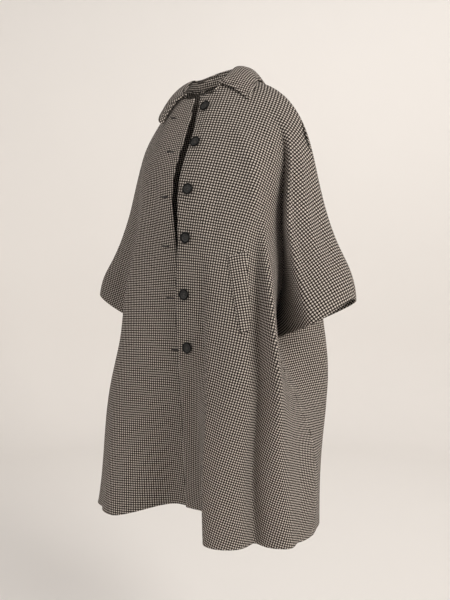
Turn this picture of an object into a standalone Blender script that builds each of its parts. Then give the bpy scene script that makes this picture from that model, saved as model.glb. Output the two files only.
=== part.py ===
"""Cape coat in heavy wool cloth, worn open: fronts and back cut in one with wide sleeves.

Metres. The front faces -Y, the wearer's left is +X and +Z is up. The origin lies at the neck, level with
the top of the shoulders, where the coat is carried.
"""
import math

import bmesh
import bpy
import numpy as np
from mathutils import Vector

CLOTH = 0.0025
SEAM_GAP = 0.0003
SEAM_TURN = 0.0016
LAY_GAP = 0.0012
UNDERARM = 0.62
LEFT, RIGHT = 1, -1

# Every panel is measured by two numbers. Down counts from the neckline at 0 to the hem at 1, and the
# sleeve hem lies at UNDERARM. Across counts from the middle of the body at 0, through the fold between
# body and sleeve at 1, to the overarm seam at 2. Each level of the body is an oval, and the tables hold
# one row for each level.

# Sides: the outermost point of the oval, which is the overarm seam as far as UNDERARM, and the fold
# between body and sleeve, which is the side seam below UNDERARM.
SIDE_COLUMNS = ("down", "out_x", "out_y", "out_z", "fold_x", "fold_y", "fold_z")
LEFT_SIDE = (
    (0.00, 0.078, 0.015, 0.000, 0.074, 0.010, -0.005),
    (0.10, 0.166, 0.018, -0.046, 0.150, 0.020, -0.075),
    (0.20, 0.224, 0.020, -0.122, 0.200, 0.033, -0.160),
    (0.35, 0.266, 0.018, -0.265, 0.200, 0.020, -0.325),
    (0.50, 0.320, 0.004, -0.404, 0.205, -0.020, -0.480),
    (0.62, 0.364, -0.018, -0.514, 0.165, 0.005, -0.606),
    (0.80, 0.290, -0.010, -0.800, 0.250, 0.000, -0.800),
    (1.00, 0.272, -0.025, -1.022, 0.270, -0.025, -1.022),
)
RIGHT_SIDE = (
    (0.00, 0.078, 0.015, -0.010, 0.074, 0.010, -0.015),
    (0.10, 0.149, 0.018, -0.051, 0.107, 0.038, -0.086),
    (0.20, 0.214, 0.018, -0.126, 0.145, 0.020, -0.165),
    (0.35, 0.262, 0.015, -0.268, 0.165, 0.020, -0.330),
    (0.50, 0.320, 0.004, -0.406, 0.185, 0.000, -0.480),
    (0.62, 0.348, -0.018, -0.503, 0.190, -0.005, -0.600),
    (0.80, 0.325, 0.000, -0.810, 0.255, 0.010, -0.810),
    (1.00, 0.325, 0.000, -1.042, 0.320, 0.000, -1.042),
)

# Fronts: the free edge, how far the oval reaches forward and how low it hangs there, how square it is
# ahead and how sloping at the side, the angle at which the fold lies, how much the cloth is drawn into
# the fold, and how wide the draw is on its two sides.
FRONT_COLUMNS = (
    "down", "edge_x", "edge_y", "edge_z", "reach", "fall", "square", "slope", "turn",
    "draw", "body_width", "sleeve_width", "strip_end",
)
LEFT_FRONT = (
    (0.00, 0.019, -0.085, -0.055, 0.090, -0.066, 0.60, 0.60, 58, 0.0, 0.30, 0.40, 0.45),
    (0.10, 0.031, -0.130, -0.148, 0.136, -0.148, 1.00, 1.15, 62, 0.1, 0.22, 0.26, 0.45),
    (0.20, 0.023, -0.164, -0.242, 0.168, -0.242, 1.00, 1.25, 66, 0.9, 0.18, 0.22, 0.45),
    (0.35, 0.020, -0.170, -0.385, 0.178, -0.385, 0.95, 1.10, 57, 1.0, 0.16, 0.18, 0.45),
    (0.50, 0.013, -0.168, -0.520, 0.184, -0.525, 0.90, 0.95, 51, 1.0, 0.16, 0.18, 0.40),
    (0.62, 0.016, -0.162, -0.640, 0.188, -0.645, 0.90, 0.90, 50, 1.0, 0.18, 0.24, 0.36),
    (0.80, 0.008, -0.138, -0.805, 0.192, -0.815, 0.80, 0.80, 70, 1.0, 0.26, 0.75, 0.28),
    (1.00, -0.006, -0.106, -0.991, 0.195, -1.022, 0.75, 0.75, 90, 1.0, 0.35, 0.75, 0.24),
)
RIGHT_FRONT = (
    (0.00, 0.004, -0.088, -0.060, 0.090, -0.060, 0.75, 0.80, 58, 0.0, 0.60, 0.40, 0.45),
    (0.10, 0.012, -0.130, -0.150, 0.136, -0.150, 1.00, 1.30, 58, 0.8, 0.70, 0.70, 0.45),
    (0.20, 0.000, -0.157, -0.240, 0.160, -0.240, 1.00, 1.40, 58, 1.0, 0.70, 0.70, 0.45),
    (0.35, 0.006, -0.162, -0.385, 0.166, -0.385, 0.95, 1.50, 58, 1.0, 0.60, 0.60, 0.45),
    (0.50, 0.018, -0.158, -0.520, 0.168, -0.525, 0.90, 1.40, 58, 1.0, 0.60, 0.70, 0.45),
    (0.62, 0.026, -0.152, -0.640, 0.168, -0.645, 0.90, 1.10, 60, 1.0, 0.60, 0.75, 0.45),
    (0.80, 0.030, -0.130, -0.805, 0.168, -0.815, 0.80, 0.80, 78, 1.0, 0.50, 0.75, 0.40),
    (1.00, 0.030, -0.098, -0.990, 0.168, -1.026, 0.75, 0.75, 90, 1.0, 0.50, 0.75, 0.30),
)

# Back: the same measures, taken from the middle of the back.
BACK_COLUMNS = (
    "down", "reach", "fall", "square", "slope", "turn", "draw", "body_width", "sleeve_width",
)
BACK = (
    (0.00, 0.072, 0.012, 0.75, 0.75, 58, 0.0, 0.40, 0.40),
    (0.10, 0.118, -0.060, 1.00, 1.45, 58, 0.0, 0.40, 0.40),
    (0.20, 0.150, -0.150, 1.00, 1.60, 58, 0.2, 0.40, 0.40),
    (0.35, 0.175, -0.300, 1.00, 1.55, 58, 0.6, 0.40, 0.50),
    (0.50, 0.190, -0.460, 1.00, 1.60, 58, 0.8, 0.40, 0.60),
    (0.62, 0.200, -0.605, 1.00, 1.30, 60, 1.0, 0.45, 0.75),
    (0.80, 0.208, -0.810, 1.00, 1.30, 78, 1.0, 0.40, 0.75),
    (1.00, 0.205, -1.030, 1.00, 1.55, 90, 1.0, 0.40, 0.75),
)
FRONT_SPREAD = {LEFT: 0.060, RIGHT: 0.095}
BACK_SPREAD = 0.095
STRIP = 0.06
TACK = 0.002

# Folds: where each lies across at its top and at the hem, how far down it begins and is full, how far it
# stands out (or in, below zero), its half width across, and how far its crest leans sideways.
FOLD_COLUMNS = ("panel", "top_at", "hem_at", "begins", "full", "depth", "width", "lean")
FOLDS = (
    ("left_front", 0.50, 0.33, 0.30, 1.00, 0.014, 0.14, -0.030),
    ("left_front", 0.86, 0.54, 0.22, 0.70, -0.036, 0.07, 0.000),
    ("left_front", 0.95, 0.74, 0.25, 0.60, 0.012, 0.08, 0.000),
    ("right_front", 0.30, 0.34, 0.30, 1.00, 0.010, 0.12, 0.000),
    ("right_front", 0.48, 0.55, 0.45, 1.00, -0.008, 0.09, 0.000),
    ("back", 0.00, 0.00, 0.35, 1.00, 0.012, 0.16, 0.000),
    ("back", 0.30, 0.32, 0.30, 1.00, -0.030, 0.12, 0.000),
    ("back", 0.58, 0.60, 0.30, 1.00, 0.014, 0.14, 0.000),
)

# The grid each panel is cut from, closer together where the cloth bends more.
FRONT_ACROSS = [
    0.0, 0.05, 0.10, 0.16, 0.23, 0.31, 0.39, 0.47, 0.56, 0.615, 0.67, 0.74, 0.81, 0.87, 0.93, 1.0,
    1.06, 1.13, 1.22, 1.35, 1.50, 1.70, 1.85, 2.0,
]
HALF_BACK = [0.1, 0.2, 0.3, 0.4, 0.5, 0.6, 0.7, 0.8, 0.9, 1.0, 1.1, 1.25, 1.45, 1.65, 1.85, 2.0]
BACK_ACROSS = [-at for at in reversed(HALF_BACK)] + [0.0] + HALF_BACK
DOWN = [
    0.0, 0.03, 0.06, 0.10, 0.14, 0.18, 0.22, 0.26, 0.30, 0.34, 0.38, 0.42, 0.46, 0.50, 0.54, 0.58, UNDERARM,
    0.66, 0.70, 0.75, 0.80, 0.85, 0.90, 0.95, 1.0,
]

# Pocket welt on the left front, along the lines of its grid.
WELT_TOP, WELT_BOTTOM = 0.42, 0.58
WELT_INNER, WELT_OUTER = 0.56, 0.67

# Collar: where it starts on each front, then the roll measured from the neckline and the outer edge
# measured from the roll, from the right end at -1 round the back to the left end at 1. Round is how far
# the fall rises between the two.
COLLAR_RIGHT, COLLAR_LEFT = 0.21, 0.53
COLLAR_STEPS = 16
STAND_FOOT = 0.0022
STAND_HEAD = 0.0058
COLLAR_COLUMNS = ("around", "roll_x", "roll_y", "roll_z", "fall_x", "fall_y", "fall_z", "round")
COLLAR = (
    (-1.00, 0.004, -0.002, 0.011, -0.055, -0.020, -0.065, 0.013),
    (-0.70, 0.012, 0.006, 0.015, -0.039, -0.034, -0.055, 0.013),
    (-0.46, 0.010, 0.000, 0.027, -0.047, 0.008, -0.040, 0.009),
    (-0.20, 0.005, -0.004, 0.032, -0.026, 0.030, -0.052, 0.009),
    (0.00, 0.000, -0.005, 0.034, 0.000, 0.034, -0.055, 0.009),
    (0.20, -0.004, -0.004, 0.033, 0.026, 0.030, -0.052, 0.009),
    (0.50, -0.010, 0.000, 0.027, 0.050, 0.004, -0.040, 0.009),
    (0.75, 0.000, 0.004, 0.020, 0.062, 0.004, -0.042, 0.010),
    (1.00, 0.010, 0.005, 0.024, 0.068, 0.016, -0.046, 0.007),
)

# Buttons, by place across and down on the left front.
BUTTON = 0.025
BUTTON_HEIGHT = 0.0048
BUTTON_GAP = 0.002
BUTTON_STEPS = 24
BUTTON_PROFILE = (
    (0.0, 0.0), (0.80, 0.0), (1.0, 0.35), (1.0, 0.70), (0.93, 1.0), (0.80, 0.98), (0.68, 0.62), (0.0, 0.55),
)
BUTTONS = ((0.13, 0.036), (0.10, 0.130), (0.10, 0.240), (0.08, 0.349), (0.07, 0.486), (0.07, 0.601))

WOOL_COLOUR = (0.20, 0.18, 0.16)
WOOL_ROUGHNESS = 0.95
BUTTON_COLOUR = (0.020, 0.019, 0.018)
BUTTON_ROUGHNESS = 0.40


def spline(knots, values, at):
    """Natural cubic curve through the rows of values, read at the given places."""
    knots = np.asarray(knots, float)
    values = np.asarray(values, float)
    count = len(knots)
    gap = np.diff(knots)
    system = np.eye(count)
    target = np.zeros(values.shape)
    for i in range(1, count - 1):
        system[i, i - 1] = gap[i - 1]
        system[i, i] = 2.0 * (gap[i - 1] + gap[i])
        system[i, i + 1] = gap[i]
        target[i] = 6.0 * ((values[i + 1] - values[i]) / gap[i] - (values[i] - values[i - 1]) / gap[i - 1])
    bend = np.linalg.solve(system, target)
    at = np.asarray(at, float)
    cell = np.clip(np.searchsorted(knots, at, side="right") - 1, 0, count - 2)
    step = gap[cell]
    after = ((at - knots[cell]) / step)[:, None]
    before = 1.0 - after
    square = (step * step)[:, None] / 6.0
    return (
        before * values[cell] + after * values[cell + 1]
        + square * ((before ** 3 - before) * bend[cell] + (after ** 3 - after) * bend[cell + 1])
    )


def read(table, columns, down):
    """Every column of a table at the given distances down, by name."""
    rows = np.array(table, float)
    found = spline(rows[:, 0], rows[:, 1:], down)
    return {name: found[:, i] for i, name in enumerate(columns[1:])}


def soft(x):
    """Rises smoothly from 0 to 1."""
    x = np.clip(x, 0.0, 1.0)
    return x * x * (3.0 - 2.0 * x)


def swell(distance):
    """One at no distance, falling smoothly to nothing at a distance of 1."""
    return 0.5 + 0.5 * np.cos(math.pi * np.clip(distance, 0.0, 1.0))


def stack(x, y, z):
    """Points from their three coordinates."""
    return np.stack([x, y, z], axis=1)


def add_folds(panel, across, down, angle, points):
    """Moves points out along the folds of one panel."""
    level = np.zeros_like(angle)
    outward = stack(np.sin(angle), -np.cos(angle), level)
    sideways = stack(np.cos(angle), np.sin(angle), level)
    for row in FOLDS:
        fold = dict(zip(FOLD_COLUMNS, row))
        if fold["panel"] != panel:
            continue
        along = np.clip((down - fold["begins"]) / (1.0 - fold["begins"]), 0.0, 1.0)
        middle = fold["top_at"] + (fold["hem_at"] - fold["top_at"]) * along
        grown = soft((down - fold["begins"]) / (fold["full"] - fold["begins"]))
        crest = np.exp(-((across - middle) / fold["width"]) ** 2)
        points += outward * (fold["depth"] * grown * crest)[:, None]
        points += sideways * (fold["lean"] * grown * crest)[:, None]
    return points


def draped(across, down, out, form, facing, spread):
    """Points on an oval quarter, drawn into the fold between body and sleeve."""
    turn = np.radians(form["turn"])

    def oval(at):
        angle = np.where(at < 1.0, at * turn, turn + (at - 1.0) * (math.pi / 2 - turn))
        ahead = np.clip(np.cos(angle), 0.0, 1.0)
        aside = np.clip(np.sin(angle), 0.0, 1.0)
        x = out["out_x"] * aside ** form["square"]
        y = out["out_y"] + (facing * form["reach"] - out["out_y"]) * ahead ** form["slope"]
        z = out["out_z"] + (form["fall"] - out["out_z"]) * ahead ** 1.5
        return stack(x, y, z), angle

    points, angle = oval(across)
    corner = oval(np.ones_like(across))[0]
    apart = spread * soft((UNDERARM - down) / 0.4) + TACK * (1.0 - soft((down - UNDERARM) / 0.06))
    fold = stack(out["fold_x"], out["fold_y"] + facing * apart, out["fold_z"])
    rolled = swell((1.0 - across) / form["body_width"])
    creased = (1.0 - np.clip((across - 1.0) / form["sleeve_width"], 0.0, 1.0)) ** 2
    draw = np.where(down < UNDERARM, np.clip(form["draw"], 0.0, 1.0), 1.0)
    points += (fold - corner) * (draw * np.where(across < 1.0, rolled, creased))[:, None]
    return points, angle, oval(np.zeros_like(across))[0]


def front(side, across, down):
    """Points of a front at the given places across and down."""
    across = np.asarray(across, float)
    down = np.asarray(down, float)
    form = read(LEFT_FRONT if side == LEFT else RIGHT_FRONT, FRONT_COLUMNS, down)
    out = read(LEFT_SIDE if side == LEFT else RIGHT_SIDE, SIDE_COLUMNS, down)
    points, angle, start = draped(across, down, out, form, -1.0, FRONT_SPREAD[side])
    edge = stack(form["edge_x"] * side, form["edge_y"], form["edge_z"])
    hold = 1.0 - soft((across - STRIP) / (form["strip_end"] - STRIP))
    points += (edge - start) * hold[:, None]
    points = add_folds("left_front" if side == LEFT else "right_front", across, down, angle, points)
    points[:, 0] *= side
    return points


def back(across, down):
    """Points of the back, the wearer's left where across is above zero."""
    across = np.asarray(across, float)
    down = np.asarray(down, float)
    form = read(BACK, BACK_COLUMNS, down)
    left = read(LEFT_SIDE, SIDE_COLUMNS, down)
    right = read(RIGHT_SIDE, SIDE_COLUMNS, down)
    out = {name: np.where(across < 0.0, right[name], left[name]) for name in left}
    points, angle, start = draped(np.abs(across), down, out, form, 1.0, BACK_SPREAD)
    points = add_folds("back", np.abs(across), down, math.pi - angle, points)
    points[:, 0] *= np.where(across < 0.0, -1.0, 1.0)
    return points


def rows_of(place, columns, levels):
    """A grid of points, one row for each level down."""
    across, down = np.meshgrid(np.array(columns), np.array(levels))
    return place(across.ravel(), down.ravel()).reshape(len(levels), len(columns), 3)


def unit(vectors):
    """Vectors made one long."""
    return vectors / np.linalg.norm(vectors, axis=-1, keepdims=True)


def part_seam(one, one_inner, two, two_inner):
    """Draws two seam edges apart until the walls that meet there stand SEAM_GAP from each other."""
    line = unit(np.gradient(one, axis=0))
    one_way = one_inner - one
    two_way = two_inner - two
    one_way = unit(one_way - line * np.sum(one_way * line, axis=-1, keepdims=True))
    two_way = unit(two_way - line * np.sum(two_way * line, axis=-1, keepdims=True))
    bend = np.arccos(np.clip(-np.sum(one_way * two_way, axis=-1), -0.9, 1.0))
    step = (SEAM_GAP / 2 + SEAM_TURN * np.tan(bend / 2))[:, None]
    one += one_way * step
    two += two_way * step


def paint(name, colour, roughness):
    """A plain material."""
    material = bpy.data.materials.new(name)
    material.use_nodes = True
    shader = material.node_tree.nodes["Principled BSDF"]
    shader.inputs["Base Color"].default_value = (*colour, 1.0)
    shader.inputs["Roughness"].default_value = roughness
    shader.inputs["Metallic"].default_value = 0.0
    return material


def add_object(name, mesh, material):
    """Puts a finished mesh into the coat's collection."""
    mesh.materials.append(material)
    thing = bpy.data.objects.new(name, mesh)
    coat.objects.link(thing)
    return thing


def cloth(name, points, keep=None):
    """A piece of cloth: a grid cut to its outline, moved onto its points and given its thickness."""
    levels, columns = points.shape[:2]
    work = bmesh.new()
    bmesh.ops.create_grid(work, x_segments=columns - 1, y_segments=levels - 1, size=1.0)
    if keep is not None:
        waste = []
        for face in work.faces:
            middle = face.calc_center_median()
            column = int((middle.x + 1.0) / 2.0 * (columns - 1))
            level = int((1.0 - middle.y) / 2.0 * (levels - 1))
            if not keep(column, level):
                waste.append(face)
        bmesh.ops.delete(work, geom=waste, context="FACES")
    for vert in work.verts:
        column = round((vert.co.x + 1.0) / 2.0 * (columns - 1))
        level = round((1.0 - vert.co.y) / 2.0 * (levels - 1))
        vert.co = points[level, column]
    mesh = bpy.data.meshes.new(name)
    work.to_mesh(mesh)
    work.free()
    thing = add_object(name, mesh, paint(name, WOOL_COLOUR, WOOL_ROUGHNESS))
    wall = thing.modifiers.new("wall", "SOLIDIFY")
    wall.thickness = CLOTH
    wall.offset = 0.0
    wall.use_even_offset = True
    wall.use_quality_normals = True
    return thing


def normals(points):
    """Outward directions of a grid of points on the left front."""
    along = np.gradient(points, axis=1)
    below = np.gradient(points, axis=0)
    return unit(np.cross(below, along))


def make_panels():
    """Both fronts and the back, drawn apart at the overarm and side seams."""
    left = rows_of(lambda a, d: front(LEFT, a, d), FRONT_ACROSS, DOWN)
    right = rows_of(lambda a, d: front(RIGHT, a, d), FRONT_ACROSS, DOWN)
    whole = rows_of(back, BACK_ACROSS, DOWN)
    sleeve = DOWN.index(UNDERARM)
    fold = FRONT_ACROSS.index(1.0)
    far = BACK_ACROSS.index(1.0)
    near = BACK_ACROSS.index(-1.0)
    upper = slice(0, sleeve + 1)
    lower = slice(sleeve, None)
    part_seam(left[upper, -1], left[upper, -2], whole[upper, -1], whole[upper, -2])
    part_seam(right[upper, -1], right[upper, -2], whole[upper, 0], whole[upper, 1])
    part_seam(left[lower, fold], left[lower, fold - 1], whole[lower, far], whole[lower, far - 1])
    part_seam(right[lower, fold], right[lower, fold - 1], whole[lower, near], whole[lower, near + 1])
    cloth("left_front", left, lambda column, level: level < sleeve or column < fold)
    cloth("right_front", right, lambda column, level: level < sleeve or column < fold)
    cloth("back", whole, lambda column, level: level < sleeve or near <= column < far)
    top, bottom = DOWN.index(WELT_TOP), DOWN.index(WELT_BOTTOM)
    inner, outer = FRONT_ACROSS.index(WELT_INNER), FRONT_ACROSS.index(WELT_OUTER)
    under = left[:, :fold]
    welt = under + normals(under) * (CLOTH + LAY_GAP)
    cloth("left_pocket_welt", welt[top:bottom + 1, inner:outer + 1])


def neckline(count):
    """Points of the neckline from the right end of the collar to the left, the middle back half way."""
    def level(values):
        return np.zeros(len(values))

    start = np.linspace(COLLAR_RIGHT, 2.0, 40)
    end = np.linspace(2.0, COLLAR_LEFT, 40)
    behind = np.linspace(-2.0, 0.0, 40)
    ahead = np.linspace(0.0, 2.0, 40)
    right = np.concatenate([front(RIGHT, start, level(start)), back(behind, level(behind))[1:]])
    left = np.concatenate([back(ahead, level(ahead)), front(LEFT, end, level(end))[1:]])
    halves = []
    for line in (right, left):
        steps = np.linalg.norm(np.diff(line, axis=0), axis=1)
        run = np.concatenate([[0.0], np.cumsum(steps)])
        places = np.linspace(0.0, run[-1], count + 1)
        halves.append(np.stack([np.interp(places, run, line[:, i]) for i in range(3)], axis=1))
    return np.concatenate([halves[0], halves[1][1:]])


def make_collar():
    """The stand on the neckline, and the fall turned down from its top."""
    base = neckline(COLLAR_STEPS)
    around = np.linspace(-1.0, 1.0, len(base))
    form = read(COLLAR, COLLAR_COLUMNS, around)
    up = np.array([0.0, 0.0, 1.0])
    roll = base + stack(form["roll_x"], form["roll_y"], form["roll_z"])
    edge = roll + stack(form["fall_x"], form["fall_y"], form["fall_z"])
    foot = base + up * STAND_FOOT
    head = roll - up * STAND_HEAD
    stand = np.stack([head + (foot - head) * part for part in np.linspace(0.0, 1.0, 4)])
    cloth("collar_stand", stand)
    fall = []
    for part in np.linspace(0.0, 1.0, 6):
        lift = 4.0 * part * (1.0 - part) * form["round"]
        fall.append(roll + (edge - roll) * part + up * lift[:, None])
    cloth("collar_fall", np.stack(fall))


def make_button(name, across, down):
    """A turned button with a raised rim, lying on the left front."""
    step = 0.01
    spot = front(LEFT, [across, across + step, across], [down, down, down + step])
    facing = unit(np.cross(spot[2] - spot[0], spot[1] - spot[0]))
    mesh = bpy.data.meshes.new(name)
    profile = [(radius * BUTTON / 2, 0.0, height * BUTTON_HEIGHT) for radius, height in BUTTON_PROFILE]
    mesh.from_pydata(profile, [(i, i + 1) for i in range(len(profile) - 1)], [])
    thing = add_object(name, mesh, paint(name, BUTTON_COLOUR, BUTTON_ROUGHNESS))
    turned = thing.modifiers.new("turned", "SCREW")
    turned.steps = BUTTON_STEPS
    turned.render_steps = BUTTON_STEPS
    turned.use_merge_vertices = True
    turned.merge_threshold = 0.00005
    turned.use_normal_calculate = True
    thing.location = spot[0] + facing * (CLOTH / 2 + BUTTON_GAP)
    thing.rotation_mode = "QUATERNION"
    thing.rotation_quaternion = Vector(facing).to_track_quat("Z", "Y")


for old in list(bpy.data.objects):
    bpy.data.objects.remove(old)
coat = bpy.data.collections.new("cape_coat")
bpy.context.scene.collection.children.link(coat)
make_panels()
make_collar()
for number, (across, down) in enumerate(BUTTONS, start=1):
    make_button(f"button_{number}", across, down)
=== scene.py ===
# %% [markdown]
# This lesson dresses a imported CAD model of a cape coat. The model gives the true size and place of every
# piece as plain solids; here each one gets a finely curved wall, its woven cloth, its stitching and its
# light. Everything is in metres: the front of the coat faces -Y, the wearer's left is +X and the origin
# lies at the neck.

# %% Load the frame
import cmath
import math

import bmesh
import bpy
import numpy as np
from mathutils import Matrix, Vector


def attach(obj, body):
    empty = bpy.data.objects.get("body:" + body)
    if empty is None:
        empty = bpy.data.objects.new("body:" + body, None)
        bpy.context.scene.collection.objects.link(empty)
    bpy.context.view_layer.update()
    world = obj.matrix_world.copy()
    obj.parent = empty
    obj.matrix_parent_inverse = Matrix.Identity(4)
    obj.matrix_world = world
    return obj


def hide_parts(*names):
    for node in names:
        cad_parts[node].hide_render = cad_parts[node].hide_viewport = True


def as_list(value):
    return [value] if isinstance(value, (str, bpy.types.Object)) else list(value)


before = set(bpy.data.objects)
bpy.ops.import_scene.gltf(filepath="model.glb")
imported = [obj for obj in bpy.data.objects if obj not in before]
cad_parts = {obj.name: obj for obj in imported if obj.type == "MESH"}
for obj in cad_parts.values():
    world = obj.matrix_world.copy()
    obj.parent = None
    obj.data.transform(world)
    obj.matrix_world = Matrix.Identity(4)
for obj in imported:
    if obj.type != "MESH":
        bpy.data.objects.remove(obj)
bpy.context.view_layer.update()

scene = bpy.context.scene
print("CAD nodes:", sorted(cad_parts))

# %% [markdown]
# The photograph looks at the coat from its left front, level with the waist, so that upright lines stay
# upright. A level camera with a small shift does the same. The focal length is given in pixels of a picture
# 450 wide and 600 high, because that is how it was measured, and is turned into millimetres here.

# %% Camera
PICTURE_HEIGHT = 600
FOCAL_PIXELS = 680
CAMERA_TURN = math.radians(35)
CAMERA_DISTANCE = 1.63
CAMERA_LEVEL = -0.477
SENSOR_MM = 36.0
SHIFT_RIGHT_PIXELS = 10
SHIFT_DOWN_PIXELS = 19
camera_data = bpy.data.cameras.new("camera")
camera_data.sensor_width = SENSOR_MM
camera_data.lens = SENSOR_MM * FOCAL_PIXELS / PICTURE_HEIGHT
camera_data.shift_x = SHIFT_RIGHT_PIXELS / PICTURE_HEIGHT
camera_data.shift_y = -SHIFT_DOWN_PIXELS / PICTURE_HEIGHT
camera = bpy.data.objects.new("camera", camera_data)
camera.location = (
    CAMERA_DISTANCE * math.sin(CAMERA_TURN), -CAMERA_DISTANCE * math.cos(CAMERA_TURN), CAMERA_LEVEL,
)
camera.rotation_euler = (math.radians(90), 0.0, CAMERA_TURN)
scene.collection.objects.link(camera)
scene.camera = camera
print("camera lens", round(camera_data.lens, 1), "mm")

# %% [markdown]
# Shader trees are easier to read as sums. This small class wraps one socket: arithmetic on it adds Math
# nodes, and every other kind of node comes from its one method, which takes the node's type, its settings
# and what goes into its sockets.


# %% Shader sums
class Strand:
    """One socket of a shader tree. Arithmetic on it adds the nodes that work it out."""

    def __init__(self, tree, socket=None):
        self.tree = tree
        self.socket = socket

    def node(self, kind, settings, inputs, output=0):
        made = self.tree.nodes.new(kind)
        for name, value in settings.items():
            setattr(made, name, value)
        for name, value in inputs.items():
            if isinstance(value, Strand):
                self.tree.links.new(value.socket, made.inputs[name])
            else:
                made.inputs[name].default_value = value
        return Strand(self.tree, made.outputs[output])

    def math(self, operation, *values):
        return self.node("ShaderNodeMath", {"operation": operation}, dict(enumerate(values)))

    def __add__(self, other):
        return self.math("ADD", self, other)

    def __sub__(self, other):
        return self.math("SUBTRACT", self, other)

    def __rsub__(self, other):
        return self.math("SUBTRACT", other, self)

    def __mul__(self, other):
        return self.math("MULTIPLY", self, other)

    def __mod__(self, other):
        return self.math("FLOORED_MODULO", self, other)

    def __lt__(self, other):
        return self.math("LESS_THAN", self, other)

    def __gt__(self, other):
        return self.math("GREATER_THAN", self, other)

    __rmul__ = __mul__

    def floor(self):
        return self.math("FLOOR", self)

    def blend(self, low, high):
        """A colour that goes from low, where this is 0, to high, where it is 1."""
        return self.node("ShaderNodeMix", {"data_type": "RGBA"}, {0: self, 6: low, 7: high}, 2)

    def noise(self, scale, detail=2.0):
        """Soft noise read at this place."""
        return self.node("ShaderNodeTexNoise", {}, {"Vector": self, "Scale": scale, "Detail": detail})


def finish_of(name, **sockets):
    """A material, its shader with the given constant values, and a strand to start from."""
    material = bpy.data.materials.new(name)
    material.use_nodes = True
    tree = material.node_tree
    shader = tree.nodes["Principled BSDF"]
    for socket, value in sockets.items():
        shader.inputs[socket.replace("_", " ")].default_value = value
    return material, shader, Strand(tree)


def feed(shader, **sockets):
    """Links what changes over the surface into the shader."""
    for socket, strand in sockets.items():
        strand.tree.links.new(strand.socket, shader.inputs[socket.replace("_", " ")])


# %% [markdown]
# The room is a pale floor that sweeps up into a round wall, made by spinning one profile, so that it stands
# behind the coat in every view. A broad lamp on the camera's right is the key, and the far side is left to
# a weak fill, which is why that side looks greyer.

# %% Room and light
FLOOR_LEVEL = -1.52
ROOM_RADIUS = 3.4
COVE = 0.7
COVE_STEPS = 8
ROOM_STEPS = 72
WALL_TOP = 2.6
PALE = (0.84, 0.815, 0.79, 1.0)
CLOUDED = 0.96
CLOUD_SCALE = 0.6
profile = bmesh.new()
chain = [
    profile.verts.new((0.0, 0.0, FLOOR_LEVEL)),
    profile.verts.new((ROOM_RADIUS - COVE, 0.0, FLOOR_LEVEL)),
]
for step in range(1, COVE_STEPS + 1):
    bend = math.radians(90) * step / COVE_STEPS
    chain.append(profile.verts.new((
        ROOM_RADIUS - COVE + COVE * math.sin(bend), 0.0, FLOOR_LEVEL + COVE - COVE * math.cos(bend),
    )))
chain.append(profile.verts.new((ROOM_RADIUS, 0.0, WALL_TOP)))
for low, high in zip(chain, chain[1:]):
    profile.edges.new((low, high))
bmesh.ops.spin(
    profile, geom=profile.verts[:] + profile.edges[:], axis=(0, 0, 1), cent=(0, 0, 0),
    angle=math.radians(360), steps=ROOM_STEPS, use_merge=True,
)
bmesh.ops.remove_doubles(profile, verts=profile.verts, dist=0.0001)
for face in profile.faces:
    face.smooth = True
room_mesh = bpy.data.meshes.new("room")
profile.to_mesh(room_mesh)
profile.free()
room = bpy.data.objects.new("room", room_mesh)
scene.collection.objects.link(room)
plaster, shader, strand = finish_of("plaster", Roughness=0.95)
place = strand.node("ShaderNodeTexCoord", {}, {}, 3)
clouded_pale = tuple(CLOUDED * part for part in PALE[:3]) + (1.0,)
feed(shader, Base_Color=place.noise(CLOUD_SCALE).blend(PALE, clouded_pale))
room_mesh.materials.append(plaster)


def lamp(name, place, target, size, power, colour):
    """A square soft lamp at a place, turned to a target."""
    data = bpy.data.lights.new(name, "AREA")
    data.size = size
    data.energy = power
    data.color = colour
    thing = bpy.data.objects.new(name, data)
    thing.location = place
    thing.rotation_euler = (Vector(target) - Vector(place)).to_track_quat("-Z", "Y").to_euler()
    scene.collection.objects.link(thing)


LAMP_COLUMNS = ("name", "place", "target", "size", "power", "colour")
LAMPS = (
    ("key", (2.5, -0.7, 0.5), (0.05, 0.0, -0.50), 1.0, 66.0, (1.0, 0.96, 0.91)),
    ("fill", (-1.4, -2.3, 0.1), (0.0, 0.0, -0.6), 1.4, 14.0, (0.97, 0.98, 1.0)),
    ("wash", (-0.1, 1.2, 1.7), (-1.2, 3.1, -0.3), 1.6, 21.0, (1.0, 0.97, 0.94)),
)
for row in LAMPS:
    lamp(**dict(zip(LAMP_COLUMNS, row)))
SKY_COLOUR = (1.0, 0.98, 0.96, 1.0)
SKY_STRENGTH = 0.50
world = bpy.data.worlds.new("sky")
world.use_nodes = True
sky = world.node_tree.nodes["Background"]
sky.inputs["Color"].default_value = SKY_COLOUR
sky.inputs["Strength"].default_value = SKY_STRENGTH
scene.world = world
scene.view_settings.view_transform = "Standard"
print("room radius", ROOM_RADIUS, "m")
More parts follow.
